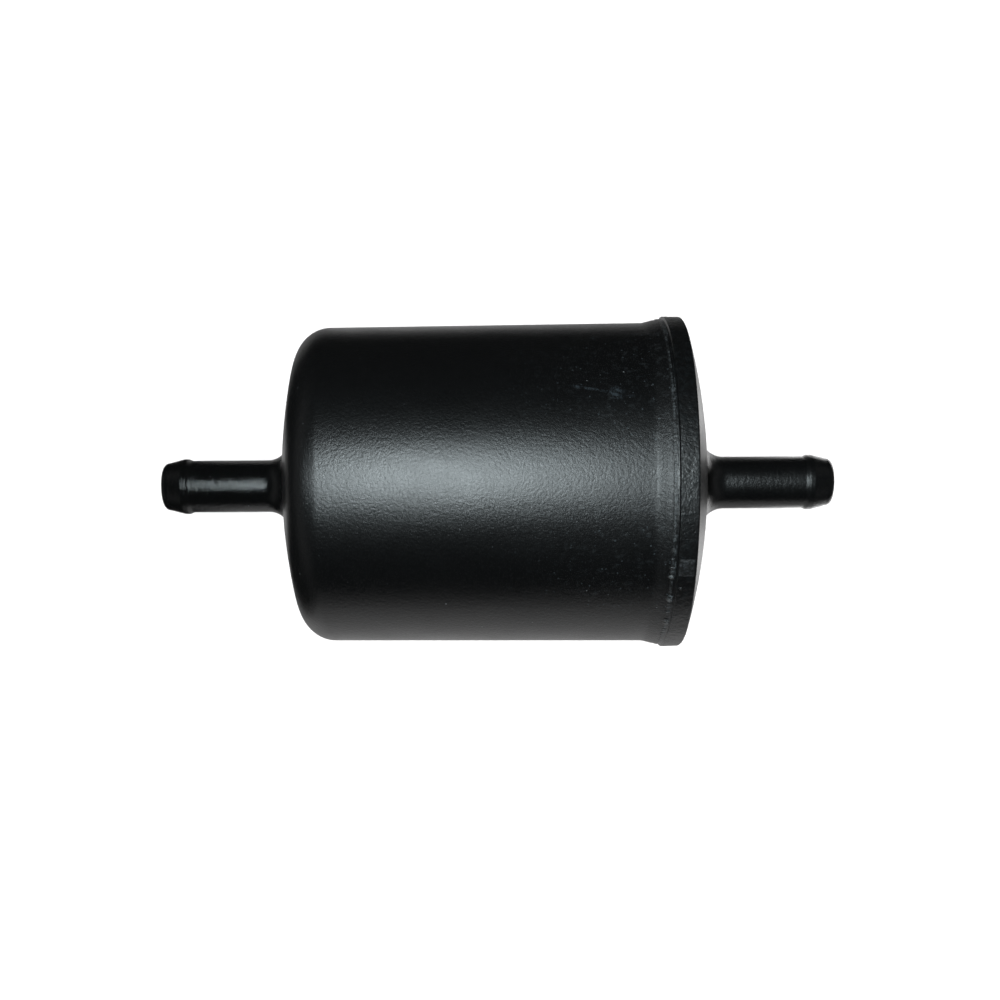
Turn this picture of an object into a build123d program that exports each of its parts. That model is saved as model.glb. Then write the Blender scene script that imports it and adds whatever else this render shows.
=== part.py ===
from build123d import *

import os
from math import atan, cos, hypot, pi, sin, sqrt

# In-line canister fuel filter for a small engine, in millimetres.
# The origin is on the filter's axis, midway between the two nipple tips. +X is the direction of flow, from the
# inlet to the outlet, and +Z is up as the filter lies on its side. A station is a distance along the axis from
# a nipple's tip: the inlet's tip, unless a name says outlet.

overall_length = 88.5

# Hose nipples for 1/4 in (6.35 mm) bore fuel hose, the same at both ends
bore_r = 2.2
stem_r = 3.42
nose_radius = 0.78
nose_r = 3.13
bead_r = 3.63
bead_start = 2.68
bead_end = 3.29
bead_ramp = 0.5

# Both ends are parts of spheres of this radius
dome_r = 71.0

# Housing
inlet_apex = 16.3
inlet_root_fillet = 2.36
shoulder_corner_r = 4.4
wall = 2.0
shoulder_station = 22.0
shoulder_r = 20.60
flare_start = 63.9
flare_start_r = 20.94
seam_start = 65.0
rim_r = 21.32
rib_count = 6
rib_thickness = 1.2
rib_inner_r = 5.0
rib_step_station = 22.0
rib_step_r = 17.4
rib_end_station = 27.0

# Seam, where the housing's rim is friction welded to the cap
seam_gap = 0.18
weld_inner_r = 18.95
weld_crest = 0.09

# Cap
outlet_apex = 17.2
outlet_root_fillet = 3.3
flange_r = 21.73
flange_outer_round = 0.68
flange_inner_round = 0.55
cap_wall = 2.4
pilot_r = 18.8
pilot_wall = 1.5
pilot_length = 3.6
pilot_chamfer = 0.4
boss_r = 7.0
boss_end_station = 60.9
socket_r = 5.0
socket_floor_station = 66.6
gate_mark_length = 1.9
gate_mark_width = 2.4
gate_mark_height = 0.12
gate_mark_root = 1.2
gate_mark_station = 66.75
gate_mark_angle = 28.0

# Filter element
pleat_count = 32
paper_thickness = 0.45
fold_radius = 0.4
outer_fold_centre_r = 15.55
inner_fold_centre_r = 7.9
paper_start = 23.9
paper_end = 58.6
core_inner_r = 5.9
core_outer_r = 6.9
window_rows = 7
windows_round = 8
window_length = 3.2
window_width = 3.0
window_first_station = 26.4
window_pitch = 4.75
plate_r = 17.2
plate_thickness = 1.4
dish_r = 16.4
dish_lip = 2.1
adhesive_depth = 1.5
adhesive_under_paper = 0.5
plug_r = 5.6
plug_height = 2.0
collar_r = 5.7
collar_inner_r = 5.0
collar_height = 1.7
neck_r = 4.85
neck_bore_r = 2.6
neck_end_station = 66.2
neck_funnel = 1.8
clip_thickness = 0.25
clip_clearance = 0.01
clip_depth_r = 13.4
clip_margin = 0.4

# Seal on the element's neck
ring_section_r = 0.89
ring_station = 63.8
groove_r = 3.45
groove_width = 2.4


def arc(centre, start, end):
    """An arc around centre from start to end, the short way round."""
    radius = hypot(start[0] - centre[0], start[1] - centre[1])
    middle = ((start[0] + end[0]) / 2 - centre[0], (start[1] + end[1]) / 2 - centre[1])
    scale = radius / hypot(*middle)
    return ThreePointArc(start, (centre[0] + middle[0] * scale, centre[1] + middle[1] * scale), end)


def towards(centre, target, distance):
    """The point at a distance from centre, in the direction of target."""
    span = hypot(target[0] - centre[0], target[1] - centre[1])
    return (
        centre[0] + (target[0] - centre[0]) * distance / span,
        centre[1] + (target[1] - centre[1]) * distance / span,
    )


def outline(points):
    """Straight edges through the points, in order."""
    return [Line(a, b) for a, b in zip(points, points[1:])]


def turned(edges):
    """The solid that a closed outline of (station, radius) edges sweeps about the axis."""
    return revolve(make_face(edges), axis=Axis.X)


def at_inlet(solid):
    """Put a solid drawn with stations from the inlet's tip in its place."""
    return Pos(-overall_length / 2, 0, 0) * solid


def at_outlet(solid):
    """Put a solid drawn with stations from the outlet's tip in its place."""
    return Pos(overall_length / 2, 0, 0) * Rot(0, 0, 180) * solid


def tube(start, end, outer, inner=0.0):
    """A plain tube or disc between two stations."""
    body = Pos((start + end) / 2, 0, 0) * Rot(0, 90, 0) * Cylinder(outer, end - start)
    if inner:
        body -= Pos((start + end) / 2, 0, 0) * Rot(0, 90, 0) * Cylinder(inner, end - start)
    return body


def prism(face, start, end):
    """A cross-section drawn in XY, set square to the axis and drawn out between two stations."""
    return Pos(start, 0, 0) * Rot(0, 90, 0) * extrude(face, end - start)


def dome_station(apex, radius, sphere_r):
    """The station of a domed face at a radius, where its sphere's tip is at apex."""
    return apex + sphere_r - sqrt(sphere_r**2 - radius**2)


def shoulder(apex, sphere_r, corner_r, wall_at_zero, slope):
    """The corner arc inside a dome and a side wall of radius wall_at_zero + slope * station.

    Returns its centre, its point on the dome and its point on the wall.
    """
    middle = apex + sphere_r
    offset = wall_at_zero - corner_r * sqrt(1 + slope**2)
    a = 1 + slope**2
    b = slope * offset - middle
    c = middle**2 + offset**2 - (sphere_r - corner_r) ** 2
    station = (-b - sqrt(b * b - a * c)) / a
    centre = (station, offset + slope * station)
    lean = atan(slope)
    on_wall = (centre[0] - corner_r * sin(lean), centre[1] + corner_r * cos(lean))
    return centre, towards((middle, 0), centre, sphere_r), on_wall


def nipple_and_dome(apex, root_fillet, corner):
    """The outside of one end, from its tip on the axis to where its corner arc meets the side."""
    middle = (apex + dome_r, 0)
    fillet_r = stem_r + root_fillet
    fillet_centre = (middle[0] - sqrt((dome_r + root_fillet) ** 2 - fillet_r**2), fillet_r)
    fillet_end = towards(middle, fillet_centre, dome_r)
    nose_centre = (nose_radius, nose_r - nose_radius)
    corner_centre, on_dome, on_wall = corner
    return [
        Line((0, 0), (0, nose_centre[1])),
        arc(nose_centre, (0, nose_centre[1]), (nose_radius, nose_r)),
        *outline(
            [
                (nose_radius, nose_r),
                (bead_start, bead_r),
                (bead_end, bead_r),
                (bead_end + bead_ramp, stem_r),
                (fillet_centre[0], stem_r),
            ]
        ),
        arc(fillet_centre, (fillet_centre[0], stem_r), fillet_end),
        arc(middle, fillet_end, on_dome),
        arc(corner_centre, on_dome, on_wall),
    ]


def canister():
    """The housing: a drafted cup with a domed end, the inlet nipple and ribs that seat the element."""
    slope = (flare_start_r - shoulder_r) / (flare_start - shoulder_station)
    wall_at_zero = shoulder_r - slope * shoulder_station
    outer_corner = shoulder(inlet_apex, dome_r, shoulder_corner_r, wall_at_zero, slope)
    flare_height = rim_r - flare_start_r
    flare_radius = ((seam_start - flare_start) ** 2 + flare_height**2) / (2 * flare_height)
    flare_foot = (flare_start, flare_start_r)
    body = turned(
        nipple_and_dome(inlet_apex, inlet_root_fillet, outer_corner)
        + [
            Line(outer_corner[2], flare_foot),
            arc((flare_start, flare_start_r + flare_radius), flare_foot, (seam_start, rim_r)),
        ]
        + outline([(seam_start, rim_r), (seam_start, 0), (0, 0)])
    )

    inner_apex = inlet_apex + wall
    inner_dome_r = dome_r - wall
    inner_wall_at_zero = wall_at_zero - wall * sqrt(1 + slope**2)
    centre, on_dome, on_wall = shoulder(
        inner_apex, inner_dome_r, shoulder_corner_r - wall, inner_wall_at_zero, slope
    )
    mouth = (seam_start, inner_wall_at_zero + slope * seam_start)
    hollow = turned(
        [
            arc((inner_apex + inner_dome_r, 0), (inner_apex, 0), on_dome),
            arc(centre, on_dome, on_wall),
            Line(on_wall, mouth),
            *outline([mouth, (seam_start, 0), (inner_apex, 0)]),
        ]
    )
    for number in range(rib_count):
        hollow -= rib(360 / rib_count * (number + 0.5))
    return at_inlet(body - hollow - tube(0, rib_step_station, bore_r))


def rib(angle):
    """One locating rib: a web that the element stands on, with a lug outside it that centres it."""
    web_length = rib_step_station - inlet_apex
    web_height = shoulder_r - rib_inner_r
    lug_length = rib_end_station - inlet_apex
    lug_height = shoulder_r - rib_step_r
    web = Pos(inlet_apex + web_length / 2, rib_inner_r + web_height / 2, 0)
    lug = Pos(inlet_apex + lug_length / 2, rib_step_r + lug_height / 2, 0)
    both = web * Box(web_length, web_height, rib_thickness) + lug * Box(lug_length, lug_height, rib_thickness)
    return Rot(angle, 0, 0) * both


def end_cap():
    """The cap: a flanged dome with the outlet nipple, a welding pilot and the socket for the seal."""
    seam = overall_length - seam_start - seam_gap
    pilot_end = seam + pilot_length
    boss_end = overall_length - boss_end_station
    socket_floor = overall_length - socket_floor_station
    inner_apex = outlet_apex + cap_wall
    inner_dome_r = dome_r - cap_wall
    pilot_inner_r = pilot_r - pilot_wall
    at_pilot = (dome_station(inner_apex, pilot_inner_r, inner_dome_r), pilot_inner_r)
    at_boss = (dome_station(inner_apex, boss_r, inner_dome_r), boss_r)
    corner = shoulder(outlet_apex, dome_r, flange_outer_round, flange_r, 0)
    round_centre = (seam - flange_inner_round, flange_r - flange_inner_round)
    round_start = (round_centre[0], flange_r)
    round_end = (seam, round_centre[1])
    solid = turned(
        nipple_and_dome(outlet_apex, outlet_root_fillet, corner)
        + [Line(corner[2], round_start), arc(round_centre, round_start, round_end)]
        + outline(
            [
                round_end,
                (seam, pilot_r),
                (pilot_end - pilot_chamfer, pilot_r),
                (pilot_end, pilot_r - pilot_chamfer),
                (pilot_end, pilot_inner_r),
                at_pilot,
            ]
        )
        + [arc((inner_apex + inner_dome_r, 0), at_pilot, at_boss)]
        + outline([at_boss, (boss_end, boss_r), (boss_end, 0), (0, 0)])
    )
    solid -= tube(socket_floor, boss_end, socket_r)
    solid -= tube(0, socket_floor, bore_r)
    return at_outlet(solid) + gate_mark()


def gate_mark():
    """The low rectangular pad that the moulding gate left on the flange's band."""
    pad = Box(gate_mark_length, gate_mark_width, gate_mark_root + gate_mark_height)
    middle_r = flange_r + (gate_mark_height - gate_mark_root) / 2
    return at_inlet(Rot(gate_mark_angle, 0, 0) * Pos(gate_mark_station, 0, middle_r) * pad)


def weld_bead():
    """The ring of remelted plastic between the housing's rim and the cap, crowned where it squeezed out."""
    end = seam_start + seam_gap
    middle = (seam_start + end) / 2
    crown = ThreePointArc((seam_start, rim_r), (middle, rim_r + weld_crest), (end, rim_r))
    sides = outline([(end, rim_r), (end, weld_inner_r), (seam_start, weld_inner_r), (seam_start, rim_r)])
    return at_inlet(turned([crown, *sides]))


def polar(radius, angle):
    """A point at a radius and an angle in radians."""
    return (radius * cos(angle), radius * sin(angle))


def pleat_leg(outer_centre, inner_centre, outer_radius, inner_radius, side):
    """The straight side of a pleat, touching an outer fold on one side and an inner fold on the other.

    side is 1 for the leg after the outer fold, anticlockwise, and -1 for the leg before it.
    """
    span = (inner_centre[0] - outer_centre[0], inner_centre[1] - outer_centre[1])
    length = hypot(*span)
    along = (span[0] / length, span[1] / length)
    across = (along[1] * side, -along[0] * side)
    tilt = (outer_radius + inner_radius) / length
    square = sqrt(1 - tilt**2)
    normal = (tilt * along[0] + square * across[0], tilt * along[1] + square * across[1])
    on_outer = (outer_centre[0] + outer_radius * normal[0], outer_centre[1] + outer_radius * normal[1])
    on_inner = (inner_centre[0] - inner_radius * normal[0], inner_centre[1] - inner_radius * normal[1])
    return on_outer, on_inner


def pleat_face(outer_radius, inner_radius):
    """A star-shaped face whose outer folds and inner folds have the given radii."""
    step = 2 * pi / pleat_count
    edges = []
    for number in range(pleat_count):
        angle = number * step
        outer_centre = polar(outer_fold_centre_r, angle)
        next_centre = polar(outer_fold_centre_r, angle + step)
        inner_centre = polar(inner_fold_centre_r, angle + step / 2)
        previous_inner = polar(inner_fold_centre_r, angle - step / 2)
        before, _ = pleat_leg(outer_centre, previous_inner, outer_radius, inner_radius, -1)
        after, down = pleat_leg(outer_centre, inner_centre, outer_radius, inner_radius, 1)
        following, up = pleat_leg(next_centre, inner_centre, outer_radius, inner_radius, -1)
        edges.append(ThreePointArc(before, polar(outer_fold_centre_r + outer_radius, angle), after))
        edges.append(Line(after, down))
        inner_tip = polar(inner_fold_centre_r - inner_radius, angle + step / 2)
        edges.append(ThreePointArc(down, inner_tip, up))
        edges.append(Line(up, following))
    return make_face(edges)


def paper_section():
    """The pleated paper's cross-section."""
    half = paper_thickness / 2
    return pleat_face(fold_radius + half, fold_radius - half) - pleat_face(fold_radius - half, fold_radius + half)


def clip_section():
    """The cross-section of the strip crimped over the two ends of the paper, at one outer fold."""
    step = pi / pleat_count
    centre = polar(outer_fold_centre_r, 0)

    def hood(grow):
        outer_radius = fold_radius + paper_thickness / 2 + grow
        inner_radius = fold_radius - paper_thickness / 2 - grow
        after, down = pleat_leg(centre, polar(inner_fold_centre_r, step), outer_radius, inner_radius, 1)
        before, up = pleat_leg(centre, polar(inner_fold_centre_r, -step), outer_radius, inner_radius, -1)
        tip = ThreePointArc(before, polar(outer_fold_centre_r + outer_radius, 0), after)
        return make_face([tip, *outline([after, down, up, before])])

    strip = hood(clip_clearance + clip_thickness) - hood(clip_clearance)
    return strip - Circle(clip_depth_r)


def centre_tube():
    """The core: a tube with rows of windows that the fuel passes through."""
    core = tube(paper_start, paper_end, core_outer_r, core_inner_r)
    cutter = Box(window_length, window_width, 3 * core_outer_r)
    for row in range(window_rows):
        station = window_first_station + window_length / 2 + row * window_pitch
        for number in range(windows_round // 2):
            core -= Rot(360 / windows_round * number, 0, 0) * Pos(station, 0, 0) * cutter
    return at_inlet(core)


def closed_end_plate():
    """The blind dish on the element's inlet end, with a plug that centres the core."""
    floor = paper_start - adhesive_under_paper
    back = floor - plate_thickness
    return at_inlet(
        turned(
            outline(
                [
                    (back, 0),
                    (back, plate_r),
                    (floor + dish_lip, plate_r),
                    (floor + dish_lip, dish_r),
                    (floor, dish_r),
                    (floor, plug_r),
                    (floor + plug_height, plug_r),
                    (floor + plug_height, 0),
                    (back, 0),
                ]
            )
        )
    )


def open_end_plate():
    """The dish on the element's outlet end, with the neck that carries the seal."""
    floor = paper_end + adhesive_under_paper
    back = floor + plate_thickness
    groove_start = ring_station - groove_width / 2
    groove_end = ring_station + groove_width / 2
    return at_inlet(
        turned(
            outline(
                [
                    (floor - dish_lip, dish_r),
                    (floor - dish_lip, plate_r),
                    (back, plate_r),
                    (back, neck_r),
                    (groove_start, neck_r),
                    (groove_start, groove_r),
                    (groove_end, groove_r),
                    (groove_end, neck_r),
                    (neck_end_station, neck_r),
                    (neck_end_station, neck_bore_r),
                    (floor + neck_funnel, neck_bore_r),
                    (floor, collar_inner_r),
                    (floor - collar_height, collar_inner_r),
                    (floor - collar_height, collar_r),
                    (floor, collar_r),
                    (floor, dish_r),
                    (floor - dish_lip, dish_r),
                ]
            )
        )
    )


def adhesive(start, end, floor_start, floor_end, inner):
    """Cast adhesive in a dish: a layer under the paper that also rises between the pleats."""
    layer = tube(floor_start, floor_end, dish_r, inner)
    section = Circle(dish_r) - Circle(inner) - paper_section() - (Circle(core_outer_r) - Circle(core_inner_r))
    rise = prism(section, start, end)
    return at_inlet(layer + rise)


def outlet_o_ring():
    """The seal, squeezed flat where it bears on the groove and on the socket."""
    middle = (groove_r + socket_r) / 2
    section = Circle(ring_section_r) & Rectangle(3 * ring_section_r, socket_r - groove_r)
    return at_inlet(revolve(Pos(ring_station, middle) * section, axis=Axis.X))


def main():
    """Write each piece as one STEP file."""
    closed_floor = paper_start - adhesive_under_paper
    open_floor = paper_end + adhesive_under_paper
    pieces = {
        "canister": canister(),
        "end_cap": end_cap(),
        "weld_bead": weld_bead(),
        "pleated_medium": at_inlet(prism(paper_section(), paper_start, paper_end)),
        "pleat_seam_clip": at_inlet(
            prism(
                clip_section(),
                closed_floor + dish_lip + clip_margin,
                open_floor - dish_lip - clip_margin,
            )
        ),
        "centre_tube": centre_tube(),
        "closed_end_plate": closed_end_plate(),
        "open_end_plate": open_end_plate(),
        "closed_end_adhesive": adhesive(
            paper_start, closed_floor + adhesive_depth, closed_floor, paper_start, plug_r
        ),
        "open_end_adhesive": adhesive(
            open_floor - adhesive_depth, paper_end, paper_end, open_floor, collar_r
        ),
        "outlet_o_ring": outlet_o_ring(),
    }
    os.makedirs("parts", exist_ok=True)
    for name, piece in pieces.items():
        export_step(piece, f"parts/{name}.step")


main()
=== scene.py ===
from math import atan, ceil, cos, exp, hypot, pi, radians, sin, sqrt

import bmesh
import bpy
from mathutils import Matrix, Vector, noise


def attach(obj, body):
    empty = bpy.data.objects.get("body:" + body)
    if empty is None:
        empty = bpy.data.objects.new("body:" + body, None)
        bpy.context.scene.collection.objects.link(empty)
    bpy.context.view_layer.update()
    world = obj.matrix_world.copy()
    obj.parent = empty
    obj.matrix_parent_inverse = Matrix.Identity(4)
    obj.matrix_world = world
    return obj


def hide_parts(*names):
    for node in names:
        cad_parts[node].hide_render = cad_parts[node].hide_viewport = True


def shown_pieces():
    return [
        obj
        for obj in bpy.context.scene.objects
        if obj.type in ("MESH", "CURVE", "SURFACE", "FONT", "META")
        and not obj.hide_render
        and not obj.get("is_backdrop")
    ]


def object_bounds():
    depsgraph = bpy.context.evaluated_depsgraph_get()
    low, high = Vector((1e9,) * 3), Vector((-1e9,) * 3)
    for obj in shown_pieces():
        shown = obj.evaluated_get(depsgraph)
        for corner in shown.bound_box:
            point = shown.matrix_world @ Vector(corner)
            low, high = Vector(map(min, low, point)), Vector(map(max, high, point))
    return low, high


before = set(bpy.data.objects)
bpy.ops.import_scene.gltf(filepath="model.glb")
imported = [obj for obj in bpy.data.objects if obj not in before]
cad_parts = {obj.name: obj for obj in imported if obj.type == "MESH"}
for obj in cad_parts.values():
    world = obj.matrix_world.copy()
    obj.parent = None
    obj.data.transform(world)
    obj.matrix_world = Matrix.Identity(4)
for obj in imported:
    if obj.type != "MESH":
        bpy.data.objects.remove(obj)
cad_low, cad_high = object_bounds()

# An in-line fuel filter. Sizes are in millimetres and scaled when a mesh is made. A station is a distance along
# the axis from the inlet nipple's tip, and an angle goes round the axis from +Z towards +Y.
MM = 0.001
HALF = (cad_high.x - cad_low.x) / MM / 2
LENGTH = 2 * HALF

# Hose nipples, the same at both ends
BORE_R = 2.2
BORE_EDGE = 0.14
STEM_R = 3.42
NOSE_RADIUS = 0.78
NOSE_R = 3.13
BEAD_R = 3.63
BEAD_START = 2.68
BEAD_END = 3.29
BEAD_RAMP = 0.5

# Both ends are parts of spheres of this radius
DOME_R = 71.0

# Housing
INLET_APEX = 16.3
INLET_ROOT_FILLET = 2.8
SHOULDER_CORNER_R = 4.4
WALL = 2.0
SHOULDER_STATION = 22.0
SHOULDER_R = 20.60
FLARE_START = 62.8
FLARE_END = 64.9
FLARE_START_R = 20.93
SEAM = 65.0
RIM_R = 21.32
RIM_EDGE = 0.09
RIBS = 6
RIB_THICKNESS = 1.2
RIB_INNER_R = 5.0
RIB_STEP_STATION = 22.0
RIB_STEP_R = 17.4
RIB_END_STATION = 27.0
RIB_ROOT = 0.5
RIB_EDGE = 0.12

# Cap
SEAM_GAP = 0.18
OUTLET_APEX = 17.2
OUTLET_ROOT_FILLET = 3.3
FLANGE_R = 21.73
FLANGE_OUTER_ROUND = 0.26
FLANGE_DRAFT = 0.02
LIP_R = 21.42
LIP_WIDTH = 0.36
LIP_ROUND = 0.05
LIP_STEP = 0.14
CAP_WALL = 2.4
PILOT_R = 18.8
PILOT_WALL = 1.5
PILOT_LENGTH = 3.6
PILOT_CHAMFER = 0.4
BOSS_R = 7.0
BOSS_END = 60.9
SOCKET_R = 5.0
SOCKET_FLOOR = 66.6
GATE_STATION = 66.70
GATE_LENGTH = 1.9
GATE_WIDTH = 2.4
GATE_HEIGHT = 0.075
GATE_ANGLE = radians(-28)
GATE_ROOT = 0.5
PIP_STATION = 66.2
PIP_ANGLE = radians(-36)
PIP_R = 0.24

# The weld flash is ragged within this span on either side of this angle
RAGGED_ANGLE = radians(-41)
RAGGED_SPAN = radians(20)

# Where the flange touches the floor that the filter lies on. The shoulder touches it too, at its own station
FLANGE_FOOT = 65.9

# Steps round the axis
SHELL_SEGMENTS = 288
FLASH_SEGMENTS = 1800

# The camera's place, its turns about Z, X and Y in radians, and its lens
CAMERA_SPOT = (-0.966, 0, 180.723)
CAMERA_TURNS = (0.00765, 0.08536, 0.00613)
SENSOR_WIDTH = 36
FOCAL_LENGTH = 48.66
VERTICAL_SHIFT = 0.1


# ---------------------------------------------------------------------------------------------- outlines

def arc(centre, start, end, step=0.3):
    """Points on the arc round centre from start to end, the short way, without start itself."""
    radius = hypot(start[0] - centre[0], start[1] - centre[1])
    first = Vector((start[0] - centre[0], start[1] - centre[1]))
    last = Vector((end[0] - centre[0], end[1] - centre[1]))
    turn = -first.angle_signed(last)
    count = max(3, ceil(abs(turn) * radius / step), ceil(abs(turn) / radians(9)))
    points = []
    for number in range(1, count + 1):
        angle = turn * number / count
        points.append(
            (
                centre[0] + first.x * cos(angle) - first.y * sin(angle),
                centre[1] + first.x * sin(angle) + first.y * cos(angle),
            )
        )
    return points


def line(start, end, step=1.2):
    """Points on a straight run from start to end, without start itself."""
    count = max(1, ceil(hypot(end[0] - start[0], end[1] - start[1]) / step))
    return [
        (start[0] + (end[0] - start[0]) * n / count, start[1] + (end[1] - start[1]) * n / count)
        for n in range(1, count + 1)
    ]


def towards(centre, target, distance):
    """The point at a distance from centre, in the direction of target."""
    span = hypot(target[0] - centre[0], target[1] - centre[1])
    return (
        centre[0] + (target[0] - centre[0]) * distance / span,
        centre[1] + (target[1] - centre[1]) * distance / span,
    )


def rounded(corners, step=1.2):
    """Points along straight runs between corners, each (station, radius, round), with the corners rounded."""
    points = [corners[0][:2]]
    for before, corner, after in zip(corners, corners[1:], corners[2:]):
        here = Vector(corner[:2])
        back = (Vector(before[:2]) - here).normalized()
        ahead = (Vector(after[:2]) - here).normalized()
        half = back.angle(ahead) / 2
        if corner[2] == 0 or half > radians(89.5):
            points += line(points[-1], corner[:2], step)
            continue
        reach = corner[2] / abs(sin(half) / cos(half))
        start, end = here + back * reach, here + ahead * reach
        centre = here + (back + ahead).normalized() * (corner[2] / sin(half))
        points += line(points[-1], tuple(start), step)
        points += arc(tuple(centre), tuple(start), tuple(end), 0.12)
    return points + line(points[-1], corners[-1][:2], step)


def dome_station(apex, radius, sphere_r):
    """The station of a domed face at a radius, where its sphere's tip is at apex."""
    return apex + sphere_r - sqrt(sphere_r**2 - radius**2)


def shoulder(apex, sphere_r, corner_r, wall_at_zero, slope):
    """The corner arc inside a dome and a side wall: its centre, and where it meets the dome and the wall."""
    middle = apex + sphere_r
    offset = wall_at_zero - corner_r * sqrt(1 + slope**2)
    a = 1 + slope**2
    b = slope * offset - middle
    c = middle**2 + offset**2 - (sphere_r - corner_r) ** 2
    station = (-b - sqrt(b * b - a * c)) / a
    centre = (station, offset + slope * station)
    lean = atan(slope)
    on_wall = (centre[0] - corner_r * sin(lean), centre[1] + corner_r * cos(lean))
    return centre, towards((middle, 0), centre, sphere_r), on_wall


def nipple_and_dome(apex, root_fillet, corner):
    """One end's outside, from the edge of its bore to where its corner arc meets the side."""
    middle = (apex + DOME_R, 0)
    fillet_r = STEM_R + root_fillet
    fillet_centre = (middle[0] - sqrt((DOME_R + root_fillet) ** 2 - fillet_r**2), fillet_r)
    fillet_end = towards(middle, fillet_centre, DOME_R)
    nose_centre = (NOSE_RADIUS, NOSE_R - NOSE_RADIUS)
    corner_centre, on_dome, on_wall = corner
    points = [(BORE_EDGE, BORE_R)]
    points += arc((BORE_EDGE, BORE_R + BORE_EDGE), points[-1], (0, BORE_R + BORE_EDGE), 0.05)
    points += line(points[-1], (0, nose_centre[1]))
    points += arc(nose_centre, points[-1], (NOSE_RADIUS, NOSE_R), 0.1)
    stem_start = (BEAD_END + BEAD_RAMP, STEM_R, 0.35)
    points += rounded(
        [
            points[-1],
            (BEAD_START, BEAD_R, 0.5),
            (BEAD_END, BEAD_R, 0.2),
            stem_start,
            (stem_start[0] + 1, STEM_R),
        ],
        0.25,
    )[1:]
    points += line(points[-1], (fillet_centre[0], STEM_R), 0.11)
    points += arc(fillet_centre, points[-1], fillet_end, 0.12)
    points += arc(middle, fillet_end, on_dome, 0.7)
    points += arc(corner_centre, on_dome, on_wall, 0.2)
    return points


SLOPE = (FLARE_START_R - SHOULDER_R) / (FLARE_START - SHOULDER_STATION)
WALL_AT_ZERO = SHOULDER_R - SLOPE * SHOULDER_STATION


def inside_shoulder(wall):
    """The corner inside the housing, for a wall of that thickness, and the inner wall's radius at station 0."""
    inner_at_zero = WALL_AT_ZERO - wall * sqrt(1 + SLOPE**2)
    corner = shoulder(INLET_APEX + wall, DOME_R - wall, SHOULDER_CORNER_R - wall, inner_at_zero, SLOPE)
    return corner, inner_at_zero


def flare_radius(station):
    """The housing's radius where it flares smoothly up to its rim."""
    u = min(1.0, max(0.0, (station - FLARE_START) / (FLARE_END - FLARE_START)))
    return FLARE_START_R + (RIM_R - FLARE_START_R) * u * u * (3 - 2 * u)


def canister_outline():
    """The housing's whole section: outside, rim, inside and bore."""
    corner = shoulder(INLET_APEX, DOME_R, SHOULDER_CORNER_R, WALL_AT_ZERO, SLOPE)
    points = nipple_and_dome(INLET_APEX, INLET_ROOT_FILLET, corner)
    foot = (FLARE_START, FLARE_START_R)
    points += line(points[-1], foot)
    rim = (SEAM, RIM_R)
    stations = [FLARE_START + (SEAM - FLARE_START) * n / 20 for n in range(1, 19)]
    points += [(station, flare_radius(station)) for station in stations]
    (centre, on_dome, on_wall), inner_at_zero = inside_shoulder(WALL)
    mouth_r = inner_at_zero + SLOPE * SEAM
    points += rounded([(*points[-1], 0), (*rim, RIM_EDGE), (SEAM, mouth_r, 0.15), (*on_wall, 0)], 1.5)[1:]
    points += arc(centre, on_wall, on_dome, 0.3)
    inner_apex, inner_dome_r = INLET_APEX + WALL, DOME_R - WALL
    middle = (inner_apex + inner_dome_r, 0)
    at_bore = (dome_station(inner_apex, BORE_R, inner_dome_r), BORE_R)
    points += arc(middle, on_dome, at_bore, 0.9)
    return points + line(at_bore, (BORE_EDGE, BORE_R), 1.0)[:-1]


def cap_outline():
    """The cap's whole section, with stations from the outlet's tip."""
    seam = LENGTH - SEAM - SEAM_GAP
    pilot_end = seam + PILOT_LENGTH
    boss_end = LENGTH - BOSS_END
    socket_floor = LENGTH - SOCKET_FLOOR
    inner_apex, inner_dome_r = OUTLET_APEX + CAP_WALL, DOME_R - CAP_WALL
    pilot_inner_r = PILOT_R - PILOT_WALL
    step = seam - LIP_WIDTH
    foot_of_step = step - LIP_STEP
    flange_at_zero = FLANGE_R - FLANGE_DRAFT * foot_of_step
    corner = shoulder(OUTLET_APEX, DOME_R, FLANGE_OUTER_ROUND, flange_at_zero, FLANGE_DRAFT)
    points = nipple_and_dome(OUTLET_APEX, OUTLET_ROOT_FILLET, corner)
    points += rounded(
        [
            (*points[-1], 0),
            (foot_of_step, FLANGE_R, 0.06),
            (step, LIP_R + 0.02, 0.07),
            (seam, LIP_R, LIP_ROUND),
            (seam, PILOT_R, 0.1),
            (pilot_end - PILOT_CHAMFER, PILOT_R, 0.08),
            (pilot_end, PILOT_R - PILOT_CHAMFER, 0.08),
            (pilot_end, pilot_inner_r, 0.1),
            (dome_station(inner_apex, pilot_inner_r, inner_dome_r), pilot_inner_r, 0),
        ],
        0.4,
    )[1:]
    at_boss = (dome_station(inner_apex, BOSS_R, inner_dome_r), BOSS_R)
    points += arc((inner_apex + inner_dome_r, 0), points[-1], at_boss, 0.9)
    points += rounded(
        [
            (*at_boss, 0),
            (boss_end, BOSS_R, 0.25),
            (boss_end, SOCKET_R, 0.3),
            (socket_floor, SOCKET_R, 0.15),
            (socket_floor, BORE_R, 0.1),
            (BORE_EDGE, BORE_R, 0),
        ],
        0.8,
    )[1:-1]
    return points


# ---------------------------------------------------------------------------------------------- meshes

def place(station, radius, angle):
    """A point in the row's frame, in metres."""
    return Vector(((station - HALF) * MM, radius * sin(angle) * MM, radius * cos(angle) * MM))


def wave(*values, seed=0.0):
    """Smooth noise from -1 to 1 at a point given by up to three numbers."""
    padded = [*values, 0.0, 0.0][:3]
    return noise.noise(Vector(padded) + Vector((seed, seed * 1.7, seed * 0.6)))


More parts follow.
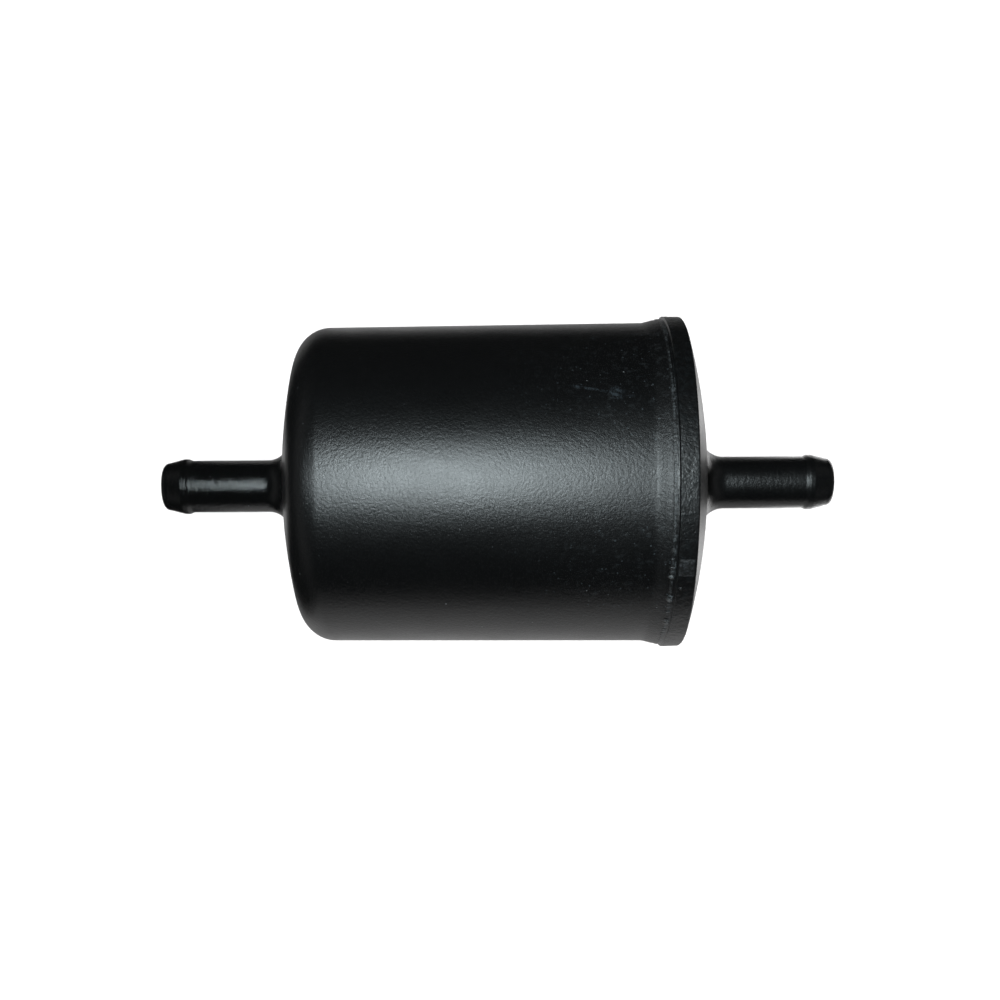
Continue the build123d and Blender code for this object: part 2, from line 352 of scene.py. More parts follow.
def finished(name, bm, material, replaced=(), smooth_under=32):
    """A piece made from bm, riding on the body. Edges that turn by less than smooth_under degrees are smooth."""
    bmesh.ops.recalc_face_normals(bm, faces=bm.faces)
    mesh = bpy.data.meshes.new(name)
    bm.to_mesh(mesh)
    bm.free()
    mesh.shade_smooth()
    mesh.set_sharp_from_angle(angle=radians(smooth_under))
    piece = bpy.data.objects.new(name, mesh)
    bpy.context.scene.collection.objects.link(piece)
    piece.data.materials.append(material)
    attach(piece, "root")
    if replaced:
        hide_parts(*replaced)
    return piece


def join_rings(bm, rings):
    """Faces between each ring of vertices and the next, and from the last ring back to the first."""
    size = len(rings[0])
    for here, there in zip(rings, rings[1:] + rings[:1]):
        for i in range(size):
            j = (i + 1) % size
            bm.faces.new((here[i], here[j], there[j], there[i]))


def turned(outline, swell):
    """A closed outline of (station, radius) turned about the axis. swell(station, radius, angle) is added
    to the radius."""
    bm = bmesh.new()
    rings = []
    for number in range(SHELL_SEGMENTS):
        angle = 2 * pi * number / SHELL_SEGMENTS
        rings.append([bm.verts.new(place(s, r + swell(s, r, angle), angle)) for s, r in outline])
    join_rings(bm, rings)
    return bm


def moulded(station, radius, angle):
    """How far a moulded surface stands from its true shape: faint rings on the stems, and a slight unevenness."""
    stand = 0.004 * wave(station * 0.25, 2.5 * cos(angle), 2.5 * sin(angle), seed=3.1)
    if BORE_R + 0.5 < radius < STEM_R + 0.3:
        ring = wave(station * 2.6, 0.8 * cos(angle), 0.8 * sin(angle), seed=8.4)
        fine = wave(station * 6.5, 1.2 * cos(angle), 1.2 * sin(angle), seed=15.2)
        stand += 0.006 * ring + 0.003 * fine
    return stand


def held_flange(station, radius, angle):
    """As moulded, with the cap's flange a little uneven where it was held while it was welded."""
    stand = moulded(station, radius, angle)
    if radius > RIM_R - 0.4:
        stand += 0.025 * wave(station * 0.8, 10 * cos(angle), 10 * sin(angle), seed=5.5)
        if SEAM < station < SEAM + SEAM_GAP + LIP_WIDTH:
            stand += 0.02 * wave(station * 0.9, 14 * cos(angle), 14 * sin(angle), seed=21.0)
    return stand


def locating_ribs():
    """Six L-shaped ribs rooted in the wall and the domed end."""
    (centre, on_dome, on_wall), inner_at_zero = inside_shoulder(WALL - RIB_ROOT)
    apex, sphere_r = INLET_APEX + WALL - RIB_ROOT, DOME_R - WALL + RIB_ROOT
    low = (dome_station(apex, RIB_INNER_R, sphere_r), RIB_INNER_R)
    far = (RIB_END_STATION, inner_at_zero + SLOPE * RIB_END_STATION)
    side = [
        (RIB_STEP_STATION, RIB_INNER_R),
        (RIB_STEP_STATION, RIB_STEP_R),
        (RIB_END_STATION, RIB_STEP_R),
        far,
        on_wall,
    ]
    side += arc(centre, on_wall, on_dome, 0.8)
    side += arc((apex + sphere_r, 0), on_dome, low, 2.5)
    bm = bmesh.new()
    for number in range(RIBS):
        angle = 2 * pi * (number + 0.5) / RIBS
        out = Vector((0, cos(angle), sin(angle)))
        across = Vector((0, -sin(angle), cos(angle))) * RIB_THICKNESS / 2
        axis = Vector((1, 0, 0))
        faces = []
        for half in (-across, across):
            corners = [bm.verts.new((axis * (s - HALF) + out * r + half) * MM) for s, r in side]
            faces.append(bm.faces.new(corners))
        left, right = (list(face.verts) for face in faces)
        for i in range(len(side)):
            j = (i + 1) % len(side)
            bm.faces.new((left[i], left[j], right[j], right[i]))
    sharp = [e for e in bm.edges if len(e.link_faces) == 2 and e.calc_face_angle(0) > radians(30)]
    bmesh.ops.bevel(bm, geom=sharp, offset=RIB_EDGE * MM, segments=2, affect="EDGES")
    return bm


def flash_size(angle):
    """How proud the weld flash stands and how far it spreads over the housing at an angle."""
    coarse = wave(16 * cos(angle), 16 * sin(angle), seed=30.0)
    fine = wave(52 * cos(angle), 52 * sin(angle), seed=41.0)
    beads = wave(95 * cos(angle), 95 * sin(angle), seed=47.0)
    away = (angle - RAGGED_ANGLE + pi) % (2 * pi) - pi
    ragged = 1 / (1 + exp((abs(away) - RAGGED_SPAN) * 22))
    peak = max(0.0, 0.30 * coarse + 0.80 * fine)
    proud = 0.09 + 0.015 * coarse + 0.018 * beads + (0.05 + 0.25 * ragged) * peak
    spread = 0.20 + 0.03 * coarse + 0.03 * beads + (0.10 + 0.55 * ragged) * peak
    return proud, spread


def weld_flash():
    """The remelted ring in the seam, with ragged flash where it squeezed out over the housing's rim."""
    bm = bmesh.new()
    rings = []
    for number in range(FLASH_SEGMENTS):
        angle = 2 * pi * number / FLASH_SEGMENTS
        proud, spread = flash_size(angle)
        curl = 0.05 * wave(40 * cos(angle), 40 * sin(angle), seed=52.0)
        left = SEAM - spread
        foot = flare_radius(left)
        # From the seam's depth, out by the cap's lip, over the crest, down on the housing and back in
        section = [
            (SEAM + SEAM_GAP, RIM_R - 2.3),
            (SEAM + SEAM_GAP, RIM_R - 0.02),
            (SEAM + 0.48, LIP_R - 0.03),
            (SEAM + 0.40, LIP_R + 0.02),
            (SEAM + 0.26 + 0.4 * curl, RIM_R + 0.92 * proud),
            (SEAM + 0.08 + curl, RIM_R + proud),
            (SEAM - 0.40 * spread + curl, foot + 0.4 * (RIM_R - foot) + 0.75 * proud),
            (SEAM - 0.75 * spread, foot + 0.2 * (RIM_R - foot) + 0.30 * proud),
            (left, foot + 0.012),
            (left + 0.03, foot - 0.06),
            (SEAM - 0.03, RIM_R - 0.42),
            (SEAM, RIM_R - 2.3),
        ]
        rings.append([bm.verts.new(place(s, r, angle)) for s, r in section])
    join_rings(bm, rings)
    return bm


def patch(station, angle, length, width, height, root, bumps, seed, across=26, along=22):
    """A low pad on the flange's band, with sloping edges, an uneven top and an underside buried root deep."""
    bm = bmesh.new()
    sheets = []
    for top in (True, False):
        rows = []
        for i in range(along + 1):
            u = 2 * i / along - 1
            row = []
            for j in range(across + 1):
                v = 2 * j / across - 1
                edge = min(1.0, (1 - abs(u)) * length / 0.7, (1 - abs(v)) * width / 0.7)
                rise = height * edge * (1 + bumps * wave(u * 3.1, v * 3.7, seed=seed))
                ragged = 0.05 * wave(v * 3, u * 2, seed=seed + 4)
                s = station + u * length / 2 + ragged * abs(u)
                a = angle + (v * width / 2 + ragged * abs(v)) / FLANGE_R
                inset = 1 if top else 0.97
                s = station + (s - station) * inset
                radius = FLANGE_R + (rise - 0.01 if top else -root)
                row.append(bm.verts.new(place(s, radius, a)))
            rows.append(row)
        sheets.append(rows)
        for i in range(along):
            for j in range(across):
                bm.faces.new((rows[i][j], rows[i][j + 1], rows[i + 1][j + 1], rows[i + 1][j]))
    top, bottom = sheets
    border = [(0, j) for j in range(across)] + [(i, across) for i in range(along)]
    border += [(along, j) for j in range(across, 0, -1)] + [(i, 0) for i in range(along, 0, -1)]
    for (i, j), (k, m) in zip(border, border[1:] + border[:1]):
        bm.faces.new((top[i][j], top[k][m], bottom[k][m], bottom[i][j]))
    return bm


def pip():
    """A small round pip beside the gate mark."""
    bm = bmesh.new()
    bmesh.ops.create_icosphere(bm, subdivisions=3, radius=PIP_R * MM)
    centre = place(PIP_STATION, FLANGE_R - 0.08, PIP_ANGLE)
    for vertex in bm.verts:
        stretch = 1 + 0.18 * wave(*(vertex.co * 4000), seed=60)
        vertex.co = centre + vertex.co * stretch
    return bm


# ---------------------------------------------------------------------------------------------- materials

class Recipe:
    """A material's node tree, with short ways to add to it. Lengths in it are in millimetres."""

    def __init__(self, name, **constants):
        self.material = bpy.data.materials.new(name)
        self.material.use_nodes = True
        self.nodes = self.material.node_tree.nodes
        self.links = self.material.node_tree.links
        self.shader = self.nodes["Principled BSDF"]
        for socket, value in constants.items():
            self.shader.inputs[socket.replace("_", " ")].default_value = value
        place_node = self.nodes.new("ShaderNodeTexCoord")
        self.place = self.vector("SCALE", place_node.outputs["Object"], scale=1 / MM)
        split = self.nodes.new("ShaderNodeSeparateXYZ")
        self.links.new(self.place, split.inputs[0])
        self.x, self.y, self.z = split.outputs

    def feed(self, node, index, value):
        """Link a socket into an input, or set a number on it."""
        if isinstance(value, bpy.types.NodeSocket):
            self.links.new(value, node.inputs[index])
        else:
            node.inputs[index].default_value = value

    def vector(self, operation, a, b=None, scale=None):
        """A vector operation's result, which is a number for a length or a distance."""
        node = self.nodes.new("ShaderNodeVectorMath")
        node.operation = operation
        self.feed(node, 0, a)
        if b is not None:
            self.feed(node, 1, b)
        if scale is not None:
            node.inputs["Scale"].default_value = scale
        return node.outputs[1] if operation in ("LENGTH", "DISTANCE") else node.outputs[0]

    def maths(self, operation, a, b=0.0, c=0.0):
        """A number from an operation on up to three numbers."""
        node = self.nodes.new("ShaderNodeMath")
        node.operation = operation
        for index, value in enumerate((a, b, c)):
            self.feed(node, index, value)
        return node.outputs[0]

    def noise(self, scale, detail=3.0, rough=0.5, distortion=0.0):
        """Noise from 0 to 1, about 0.5. scale is in features per millimetre, or a vector of three."""
        spot = self.place
        if isinstance(scale, tuple):
            spot = self.vector("MULTIPLY", spot, scale)
            scale = 1.0
        node = self.nodes.new("ShaderNodeTexNoise")
        self.links.new(spot, node.inputs["Vector"])
        for socket, value in (
            ("Scale", scale),
            ("Detail", detail),
            ("Roughness", rough),
            ("Distortion", distortion),
        ):
            node.inputs[socket].default_value = value
        return node.outputs[0]

    def step(self, value, low, high, to_low=0.0, to_high=1.0):
        """A smooth step of value from low to high."""
        node = self.nodes.new("ShaderNodeMapRange")
        node.interpolation_type = "SMOOTHSTEP"
        for index, number in enumerate((value, low, high, to_low, to_high)):
            self.feed(node, index, number)
        return node.outputs[0]

    def fit(self, value, low, high, to_low, to_high):
        """value carried straight from one range to another."""
        node = self.nodes.new("ShaderNodeMapRange")
        for index, number in enumerate((value, low, high, to_low, to_high)):
            self.feed(node, index, number)
        return node.outputs[0]

    def mix(self, factor, a, b):
        """A colour between a and b."""
        node = self.nodes.new("ShaderNodeMix")
        node.data_type = "RGBA"
        self.feed(node, 0, factor)
        for index, colour in ((6, a), (7, b)):
            self.feed(node, index, colour if isinstance(colour, bpy.types.NodeSocket) else (*colour, 1))
        return node.outputs[2]

    def product(self, a, b):
        """a times b."""
        return self.maths("MULTIPLY", a, b)

    def total(self, *values):
        """The sum of the values."""
        result = values[0]
        for value in values[1:]:
            result = self.maths("ADD", result, value)
        return result

    def specks(self, per_mm, radius, share):
        """1 inside scattered specks, from the cells per millimetre, the largest speck's radius and the share
        of cells with a speck."""
        node = self.nodes.new("ShaderNodeTexVoronoi")
        self.links.new(self.place, node.inputs["Vector"])
        node.inputs["Scale"].default_value = per_mm
        split = self.nodes.new("ShaderNodeSeparateColor")
        self.links.new(node.outputs["Color"], split.inputs[0])
        size = self.fit(split.outputs[0], 1 - share, 1, 0.0, radius * per_mm)
        edge = self.maths("SUBTRACT", size, node.outputs["Distance"])
        return self.step(edge, 0.0, 0.35 * radius * per_mm)

    def radius(self):
        """Distance from the filter's axis."""
        return self.vector("LENGTH", self.vector("MULTIPLY", self.place, (0.0, 1.0, 1.0)))

    def done(self, colour=None, roughness=None, height=None):
        """Link the varying colour, roughness and height in millimetres to the shader."""
        if colour is not None:
            self.links.new(colour, self.shader.inputs["Base Color"])
        if roughness is not None:
            self.links.new(roughness, self.shader.inputs["Roughness"])
        if height is not None:
            bump = self.nodes.new("ShaderNodeBump")
            bump.inputs["Distance"].default_value = MM
            self.links.new(height, bump.inputs["Height"])
            self.links.new(bump.outputs[0], self.shader.inputs["Normal"])
        return self.material


def housing_finish(name, body_rough, stem_rough):
    """Satin black moulded nylon: fine grain, dust, and scuffs and scratches that thicken towards the seam."""
    r = Recipe(name, IOR=1.5)
    radius = r.radius()
    on_stem = r.step(radius, 4.4, 6.6, 1.0, 0.0)
    rim = r.step(r.x, 18.2, 19.4)
    near_seam = r.step(r.x, -6.0, 20.0)
    grain = r.noise(2.6, 4.0, 0.66)
    fine = r.noise(6.5, 3.0, 0.6)
    clouds = r.noise(0.16, 3.0, 0.55, distortion=0.6)
    streaks = r.noise((0.13, 0.55, 0.55), 4.0, 0.6, distortion=0.3)
    rings = r.noise((2.8, 1.5, 1.5), 4.0, 0.62)
    mottle = r.noise(1.3, 4.0, 0.60)
    dust = r.specks(0.46, 0.17, 0.38)
    lint = r.specks(1.25, 0.10, 0.18)
    grit = r.product(r.specks(2.1, 0.15, 0.42), near_seam)
    worn = r.step(r.noise(1.1, 5.0, 0.70), 0.52, 0.70)
    scuff = r.product(worn, near_seam)
    hairs = r.noise((0.30, 4.2, 4.2), 3.0, 0.6, distortion=0.5)
    # One scrape near the seam: a thin slanting line with a blot on it
    lean = r.maths("ABSOLUTE", r.maths("MULTIPLY_ADD", r.x, 0.18, r.maths("SUBTRACT", r.y, 13.3)))
    run = r.step(r.maths("ABSOLUTE", r.maths("SUBTRACT", r.x, 12.3)), 2.0, 4.6, 1.0, 0.0)
    thin = r.step(lean, 0.04, 0.24, 1.0, 0.0)
    line_mark = r.product(thin, r.product(run, r.step(r.z, 0, 5)))
    blot = r.step(r.vector("DISTANCE", r.place, (14.2, 10.8, 17.9)), 0.3, 1.3, 1.0, 0.0)
    broken = r.step(r.noise(2.4, 4.0, 0.65), 0.44, 0.62)
    scrape = r.product(r.maths("MAXIMUM", line_mark, blot), broken)
    scratch = r.product(r.step(hairs, 0.66, 0.74), near_seam)
    shade = r.mix(grain, (0.0016, 0.0017, 0.0018), (0.0042, 0.0044, 0.0047))
    shade = r.mix(r.product(scuff, 0.30), shade, (0.030, 0.035, 0.038))
    shade = r.mix(r.product(scratch, 0.30), shade, (0.050, 0.064, 0.074))
    shade = r.mix(r.product(scrape, 0.5), shade, (0.055, 0.070, 0.082))
    shade = r.mix(r.product(lint, 0.55), shade, (0.080, 0.084, 0.088))
    shade = r.mix(r.product(grit, 0.70), shade, (0.050, 0.060, 0.066))
    shade = r.mix(r.product(dust, 0.75), shade, (0.170, 0.180, 0.185))
    rough = r.total(
        r.fit(on_stem, 0, 1, body_rough, stem_rough),
        r.product(rim, 0.05),
        r.fit(grain, 0, 1, -0.05, 0.05),
        r.fit(clouds, 0, 1, -0.05, 0.05),
        r.fit(streaks, 0, 1, -0.02, 0.02),
        r.product(near_seam, 0.04),
        r.product(scuff, 0.03),
        r.product(dust, 0.25),
    )
    height = r.total(
        r.product(grain, 0.042),
        r.product(fine, 0.005),
        r.product(streaks, 0.012),
        r.product(r.product(rings, on_stem), 0.065),
        r.product(r.product(mottle, rim), 0.045),
        r.product(scuff, 0.006),
        r.product(dust, 0.03),
    )
    return r.done(shade, rough, height)


def cap_nylon():
    """The cap's black nylon: like the housing's, with a mottled band round the flange."""
    r = Recipe("cap_black_nylon", IOR=1.5)
    radius = r.radius()
    on_stem = r.step(radius, 4.8, 7.2, 1.0, 0.0)
    on_band = r.step(radius, 21.2, 21.6)
    grain = r.noise(2.6, 4.0, 0.66)
    clouds = r.noise(0.22, 3.0, 0.55, distortion=0.6)
    mottle = r.noise(1.5, 4.0, 0.60)
    rings = r.noise((2.8, 1.5, 1.5), 4.0, 0.62)
    dust = r.specks(0.5, 0.13, 0.30)
    worn = r.product(r.step(mottle, 0.47, 0.62), on_band)
    shade = r.mix(grain, (0.0016, 0.0017, 0.0018), (0.0042, 0.0044, 0.0047))
    shade = r.mix(r.product(worn, 0.5), shade, (0.008, 0.010, 0.011))
    shade = r.mix(r.product(dust, 0.6), shade, (0.15, 0.155, 0.16))
    rough = r.total(
        r.fit(on_stem, 0, 1, 0.37, 0.33),
        r.product(on_band, -0.01),
        r.fit(grain, 0, 1, -0.05, 0.05),
        r.fit(clouds, 0, 1, -0.05, 0.05),
    )
    height = r.total(
        r.product(grain, 0.030),
        r.product(r.product(mottle, on_band), 0.10),
        r.product(r.product(rings, on_stem), 0.036),
        r.product(dust, 0.03),
    )
    return r.done(shade, rough, height)


def remelted(name, light, rough_at, crest):
    """Torn nylon, as on weld flash and where a gate broke off, stress-whitened from the crest's radius up."""
    r = Recipe(name, IOR=1.5)
    tear = r.noise(4.0, 5.0, 0.7)
    blotch = r.noise(1.3, 3.0, 0.5)
    proud = r.step(r.radius(), crest - 0.06, crest + 0.05)
    torn = r.product(r.step(tear, 0.38, 0.60), r.step(blotch, 0.36, 0.60))
    pale = r.product(torn, proud)
    shade = r.mix(pale, (0.0045, 0.0048, 0.0050), light)
    rough = r.fit(tear, 0.2, 0.8, rough_at - 0.08, rough_at + 0.12)
    return r.done(shade, rough, r.product(tear, 0.05))


def filter_paper():
    """Resin-treated paper: matted fibres, a few dark inclusions, and resin pooled unevenly."""
    r = Recipe("resin_paper", IOR=1.45)
    fibre_a = r.noise((9.0, 2.0, 2.0), 4.0, 0.6, distortion=0.8)
    fibre_b = r.noise((2.5, 7.0, 7.0), 4.0, 0.6, distortion=0.9)
    pool = r.noise(0.35, 3.0, 0.5)
    fleck = r.specks(2.2, 0.09, 0.3)
    felt = r.product(r.maths("ADD", fibre_a, fibre_b), 0.5)
    shade = r.mix(r.step(felt, 0.35, 0.65), (0.60, 0.47, 0.25), (0.80, 0.69, 0.45))
    shade = r.mix(r.product(pool, 0.35), shade, (0.52, 0.36, 0.15))
    shade = r.mix(r.product(fleck, 0.4), shade, (0.25, 0.17, 0.08))
    rough = r.fit(felt, 0.3, 0.7, 0.72, 0.92)
    return r.done(shade, rough, r.product(felt, 0.06))


def strip_steel():
    """Tinned steel strip, drawn along its length, with the crimp's scuffs."""
    r = Recipe("crimped_steel", Metallic=1.0)
    drawn = r.noise((0.5, 14.0, 14.0), 3.0, 0.6)
    tarnish = r.noise(0.7, 4.0, 0.6)
    shade = r.mix(tarnish, (0.50, 0.50, 0.50), (0.66, 0.66, 0.65))
    rough = r.total(r.fit(drawn, 0, 1, 0.24, 0.42), r.fit(tarnish, 0, 1, -0.04, 0.08))
    return r.done(shade, rough, r.product(drawn, 0.01))


def natural_nylon(name, warm, pale):
    """Unfilled nylon in its natural cream colour, with flow marks and a waxy skin."""
    r = Recipe(name, IOR=1.53, Subsurface_Weight=0.12, Subsurface_Scale=0.001)
    flow = r.noise((0.18, 0.7, 0.7), 4.0, 0.55, distortion=0.5)
    grain = r.noise(2.6, 3.0, 0.6)
    shade = r.mix(flow, warm, pale)
    rough = r.total(r.fit(grain, 0, 1, 0.34, 0.46), r.fit(flow, 0, 1, -0.03, 0.05))
    height = r.total(r.product(grain, 0.010), r.product(flow, 0.03))
    return r.done(shade, rough, height)


def cast_adhesive():
    """Amber adhesive that set with a rippled, slightly bubbled skin."""
    r = Recipe("cast_adhesive", IOR=1.5, Coat_Weight=0.3, Coat_Roughness=0.12)
    swirl = r.noise(0.5, 4.0, 0.55, distortion=1.2)
    bubble = r.specks(1.4, 0.2, 0.35)
    shade = r.mix(swirl, (0.22, 0.085, 0.022), (0.46, 0.24, 0.08))
    shade = r.mix(r.product(bubble, 0.4), shade, (0.60, 0.42, 0.22))
    rough = r.fit(swirl, 0, 1, 0.2, 0.36)
    height = r.total(r.product(swirl, 0.12), r.product(bubble, 0.05))
    return r.done(shade, rough, height)


def seal_rubber():
    """Moulded black rubber with talc left in its grain."""
    r = Recipe("seal_rubber", IOR=1.52)
    grain = r.noise(5.0, 4.0, 0.65)
    talc = r.step(r.noise(1.6, 5.0, 0.7), 0.55, 0.8)
    shade = r.mix(r.product(talc, 0.35), (0.014, 0.014, 0.015), (0.11, 0.11, 0.105))
    rough = r.fit(grain, 0.2, 0.8, 0.52, 0.72)
    return r.done(shade, rough, r.product(grain, 0.012))


# ---------------------------------------------------------------------------------------------- the filter

housing_nylon = housing_finish("housing_black_nylon", body_rough=0.312, stem_rough=0.135)
flange_nylon = cap_nylon()
torn_nylon = remelted("weld_flash_nylon", (0.110, 0.122, 0.128), rough_at=0.38, crest=LIP_R)
gate_nylon = remelted("gate_scar_nylon", (0.040, 0.043, 0.047), rough_at=0.5, crest=FLANGE_R + 0.01)

finished("canister_shell", turned(canister_outline(), moulded), housing_nylon, ["canister"])
finished("canister_locating_ribs", locating_ribs(), housing_nylon)
cap = [(LENGTH - t, radius) for t, radius in cap_outline()]
finished("end_cap_shell", turned(cap, held_flange), flange_nylon, ["end_cap"])
finished(
    "gate_vestige",
    patch(GATE_STATION, GATE_ANGLE, GATE_LENGTH, GATE_WIDTH, GATE_HEIGHT, GATE_ROOT, bumps=0.55, seed=70.0),
    gate_nylon,
)
finished("flange_pip", pip(), gate_nylon)
finished("weld_flash_ring", weld_flash(), torn_nylon, ["weld_bead"], smooth_under=60)

inner_finishes = {
    "pleated_medium": (filter_paper(), "filter_paper"),
    "pleat_seam_clip": (strip_steel(), "clip_steel"),
    "centre_tube": (natural_nylon("core_nylon", (0.62, 0.61, 0.54), (0.74, 0.73, 0.68)), "core_plastic"),
    "closed_end_plate": (natural_nylon("plate_nylon", (0.54, 0.53, 0.47), (0.66, 0.65, 0.60)), "plate_plastic"),
    "closed_end_adhesive": (cast_adhesive(), "adhesive"),
    "outlet_o_ring": (seal_rubber(), "seal_rubber"),
}
inner_finishes["open_end_plate"] = inner_finishes["closed_end_plate"]
inner_finishes["open_end_adhesive"] = inner_finishes["closed_end_adhesive"]
for node, (finish, slot_name) in inner_finishes.items():
    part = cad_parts[node]
    part.data.materials.clear()
    part.data.materials.append(finish)


# ---------------------------------------------------------------------------------------------- the studio

def sheet_of_floor(name, corners, drop, material):
    """A flat sheet parallel to the plane that the flange and the shoulder rest on, and drop below that plane."""
    lean = atan((FLANGE_R - SHOULDER_R) / (FLANGE_FOOT - SHOULDER_STATION))
    under = SHOULDER_R + (HALF - SHOULDER_STATION) * sin(lean) / cos(lean) + drop
    mesh = bpy.data.meshes.new(name)
    mesh.from_pydata([(x * MM, y * MM, 0) for x, y in corners], [], [range(len(corners))])
    mesh.materials.append(material)
    sheet = bpy.data.objects.new(name, mesh)
    sheet.matrix_world = Matrix.Translation((0, 0, -under * MM)) @ Matrix.Rotation(lean, 4, "Y")
    bpy.context.scene.collection.objects.link(sheet)
    sheet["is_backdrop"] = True
    return sheet


def floor_material():
    """Matt white board with a very faint tooth."""
    r = Recipe("white_board", IOR=1.4)
    tooth = r.noise(0.9, 4.0, 0.6)
    r.shader.inputs["Specular IOR Level"].default_value = 0.0
    return r.done(r.mix(tooth, (0.86, 0.86, 0.86), (0.89, 0.89, 0.89)), None, r.product(tooth, 0.01))


def glowing_reflection_card_material():
    """A glowing card, no lamp, that paints the table's reflection into the filter's gloss. It is brightest under
    the filter's axis, with painted shade beneath the nipples and beyond the filter's ends. It fades with distance
    in front of the filter as painted falloff of light, and it has two painted bright patches beside the outlet
    nipple."""
    r = Recipe("painted_reflection_card")
    out = r.nodes["Material Output"]
    glow = r.nodes.new("ShaderNodeEmission")
    across = r.maths("ABSOLUTE", r.y)
    wide = r.step(r.maths("ABSOLUTE", r.x), 22, 30)
    # Painted shade: the glow is brightest under the filter's axis and dimmer further out beneath each nipple
    right = r.step(across, 11, 18, 1.0, 0.62)
    left = r.step(across, 4, 9, 0.9, 0.62)
    beside = r.fit(r.step(r.x, -5, 5), 0, 1, left, right)
    # Painted shade beyond the filter's ends, near it, where its shadow would fall on the table
    shaded = r.step(r.y, -40, -18, 0.0, -0.27)
    # Painted falloff of light with distance in front of the filter
    far = r.step(r.y, -330, -60, -0.14, 0.0)
    # Two painted bright patches beside the outlet nipple, which put a painted reflection on the cap's dome
    strips = r.product(r.step(across, 7, 12), r.step(across, 20, 26, 2.0, 0.0))
    by_cap = r.product(r.step(r.x, 38, 46), strips)
    r.links.new(r.total(beside, far, r.product(wide, shaded), by_cap), glow.inputs["Strength"])
    r.nodes.remove(r.shader)
    r.links.new(glow.outputs[0], out.inputs["Surface"])
    return r.material


floor_corners = [(-4000, -4000), (4000, -4000), (4000, 4000), (-4000, 4000)]
floor = sheet_of_floor("floor", floor_corners, drop=0.02, material=floor_material())
floor.visible_glossy = False

# A glowing card, hidden from the camera, paints the table's reflection into the filter's gloss in place of the
# floor:
# # a patch with a wing under each nipple, widening towards the front
front = [(-44, 38), (-44, 12), (-80, 12), (-80, -12), (-44, -12), (-44, -30), (-220, -600)]
front += [(220, -600), (80, -30), (80, 26), (46, 26), (46, 38)]
reflection_card = sheet_of_floor("painted_reflection_card", front, drop=0.1, material=glowing_reflection_card_material())
reflection_card.visible_camera = False
reflection_card.visible_diffuse = False
reflection_card.visible_shadow = False

# A flag above the inlet nipple that keeps the side fill off it
flag_corners = [(-76, -50), (-31, -50), (-31, 70), (-76, 70)]
flag = sheet_of_floor("flag", flag_corners, drop=-33, material=glowing_reflection_card_material())
flag.visible_camera = False
flag.visible_diffuse = False
flag.visible_glossy = False

shown = bpy.data.collections.new("filter_pieces")
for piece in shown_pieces():
    shown.objects.link(piece)
ground = bpy.data.collections.new("ground")
ground.objects.link(floor)


def lamp(name, kind, spot, aim, energy, receivers, blockers=None, **settings):
    """A lamp at a spot, aimed at a point, both in millimetres. Its size is along X, and its size_y is across the
    filter. It lights the receivers, and where blockers are given only they cast its shadow."""
    data = bpy.data.lights.new(name, kind)
    data.energy = energy
    for key, value in settings.items():
        setattr(data, key, value)
    made = bpy.data.objects.new(name, data)
    back = (Vector(spot) - Vector(aim)).normalized()
    side = (Vector((1, 0, 0)) - back * back.x).normalized()
    axes = Matrix((side, back.cross(side), back)).transposed()
    made.matrix_world = Matrix.Translation(Vector(spot) * MM) @ axes.to_4x4()
    bpy.context.scene.collection.objects.link(made)
    made.light_linking.receiver_collection = receivers
    if blockers:
        made.light_linking.blocker_collection = blockers
    made.visible_camera = False
    return made


COOL_WHITE = (0.85, 0.965, 1.0)
lamp(
    "soft_key",
    "AREA",
    spot=(-15, 19, 200),
    aim=(-4, 0, 20),
    energy=0.365,
    receivers=shown,
    blockers=shown,
    color=COOL_WHITE,
    shape="RECTANGLE",
    size=0.012,
    size_y=0.114,
)
fill = lamp(
    "side_fill",
    "AREA",
    spot=(-114, 15, 178),
    aim=(-22, 0, 18),
    energy=0.052,
    receivers=shown,
    color=COOL_WHITE,
    shape="RECTANGLE",
    size=0.108,
    size_y=0.034,
)
# The flag is hidden from reflections, so they mustn't find this lamp for themselves
fill.data.cycles.use_multiple_importance_sampling = False
# The second of these casts no shadow of the filter, so the first one's shadow isn't black
for name, energy, blockers in (("floor_wash", 3.4, shown), ("floor_lift", 0.8, ground)):
    lamp(name, "SUN", (0, 0, 900), (0, 0, 0), energy, ground, blockers, angle=radians(6))


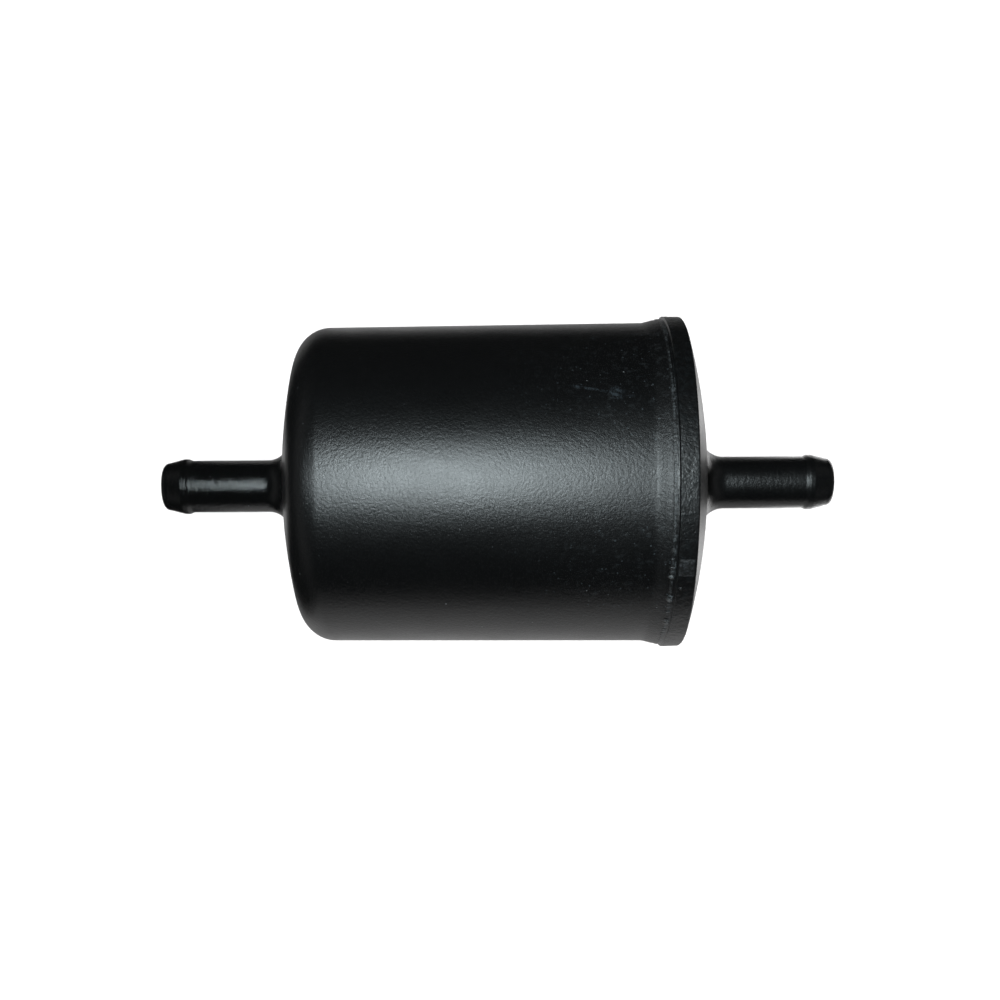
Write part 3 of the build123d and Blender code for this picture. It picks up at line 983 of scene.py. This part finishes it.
def studio_world():
    """A room that is pale to the camera and dim to everything else, but lighter off the filter's two ends."""
    world = bpy.data.worlds.new("studio")
    world.use_nodes = True
    nodes, links = world.node_tree.nodes, world.node_tree.links
    nodes.clear()

    def feed(node, index, value):
        if isinstance(value, bpy.types.NodeSocket):
            links.new(value, node.inputs[index])
        else:
            node.inputs[index].default_value = value

    def maths(operation, *values):
        node = nodes.new("ShaderNodeMath")
        node.operation = operation
        for index, value in enumerate(values):
            feed(node, index, value)
        return node.outputs[0]

    def step(*values):
        node = nodes.new("ShaderNodeMapRange")
        node.interpolation_type = "SMOOTHSTEP"
        for index, value in enumerate(values):
            feed(node, index, value)
        return node.outputs[0]

    def background(grey):
        node = nodes.new("ShaderNodeBackground")
        node.inputs["Color"].default_value = (grey, grey, grey, 1)
        return node

    pale, dim = background(0.93), background(0.02)
    around = nodes.new("ShaderNodeTexCoord")
    split = nodes.new("ShaderNodeSeparateXYZ")
    links.new(around.outputs["Generated"], split.inputs[0])
    sideways, upwards = split.outputs[0], split.outputs[2]
    ends = step(maths("ABSOLUTE", sideways), 0.40, 0.72, 0.0, 9.0)
    above_table = step(upwards, 0.0, 0.18, 0.0, 1.0)
    below_lamps = step(upwards, 0.45, 0.64, 1.0, 0.0)
    lighter = maths("MULTIPLY", above_table, below_lamps)
    links.new(maths("MULTIPLY_ADD", ends, lighter, 1.0), dim.inputs["Strength"])
    path = nodes.new("ShaderNodeLightPath")
    either = nodes.new("ShaderNodeMixShader")
    links.new(path.outputs["Is Camera Ray"], either.inputs[0])
    links.new(dim.outputs[0], either.inputs[1])
    links.new(pale.outputs[0], either.inputs[2])
    out = nodes.new("ShaderNodeOutputWorld")
    links.new(either.outputs[0], out.inputs["Surface"])
    return world


bpy.context.scene.world = studio_world()

camera_data = bpy.data.cameras.new("camera")
camera_data.sensor_width = SENSOR_WIDTH
camera_data.lens = FOCAL_LENGTH
camera_data.shift_y = VERTICAL_SHIFT
camera_data.clip_start = 0.01
camera_data.clip_end = 20
camera = bpy.data.objects.new("camera", camera_data)
about_z, about_x, about_y = (Matrix.Rotation(a, 3, axis) for a, axis in zip(CAMERA_TURNS, "ZXY"))
turn = (about_z @ about_x @ about_y).transposed()
camera.matrix_world = Matrix.Translation(Vector(CAMERA_SPOT) * MM) @ turn.to_4x4()
bpy.context.scene.collection.objects.link(camera)
bpy.context.scene.camera = camera
bpy.context.scene.view_settings.view_transform = "Standard"
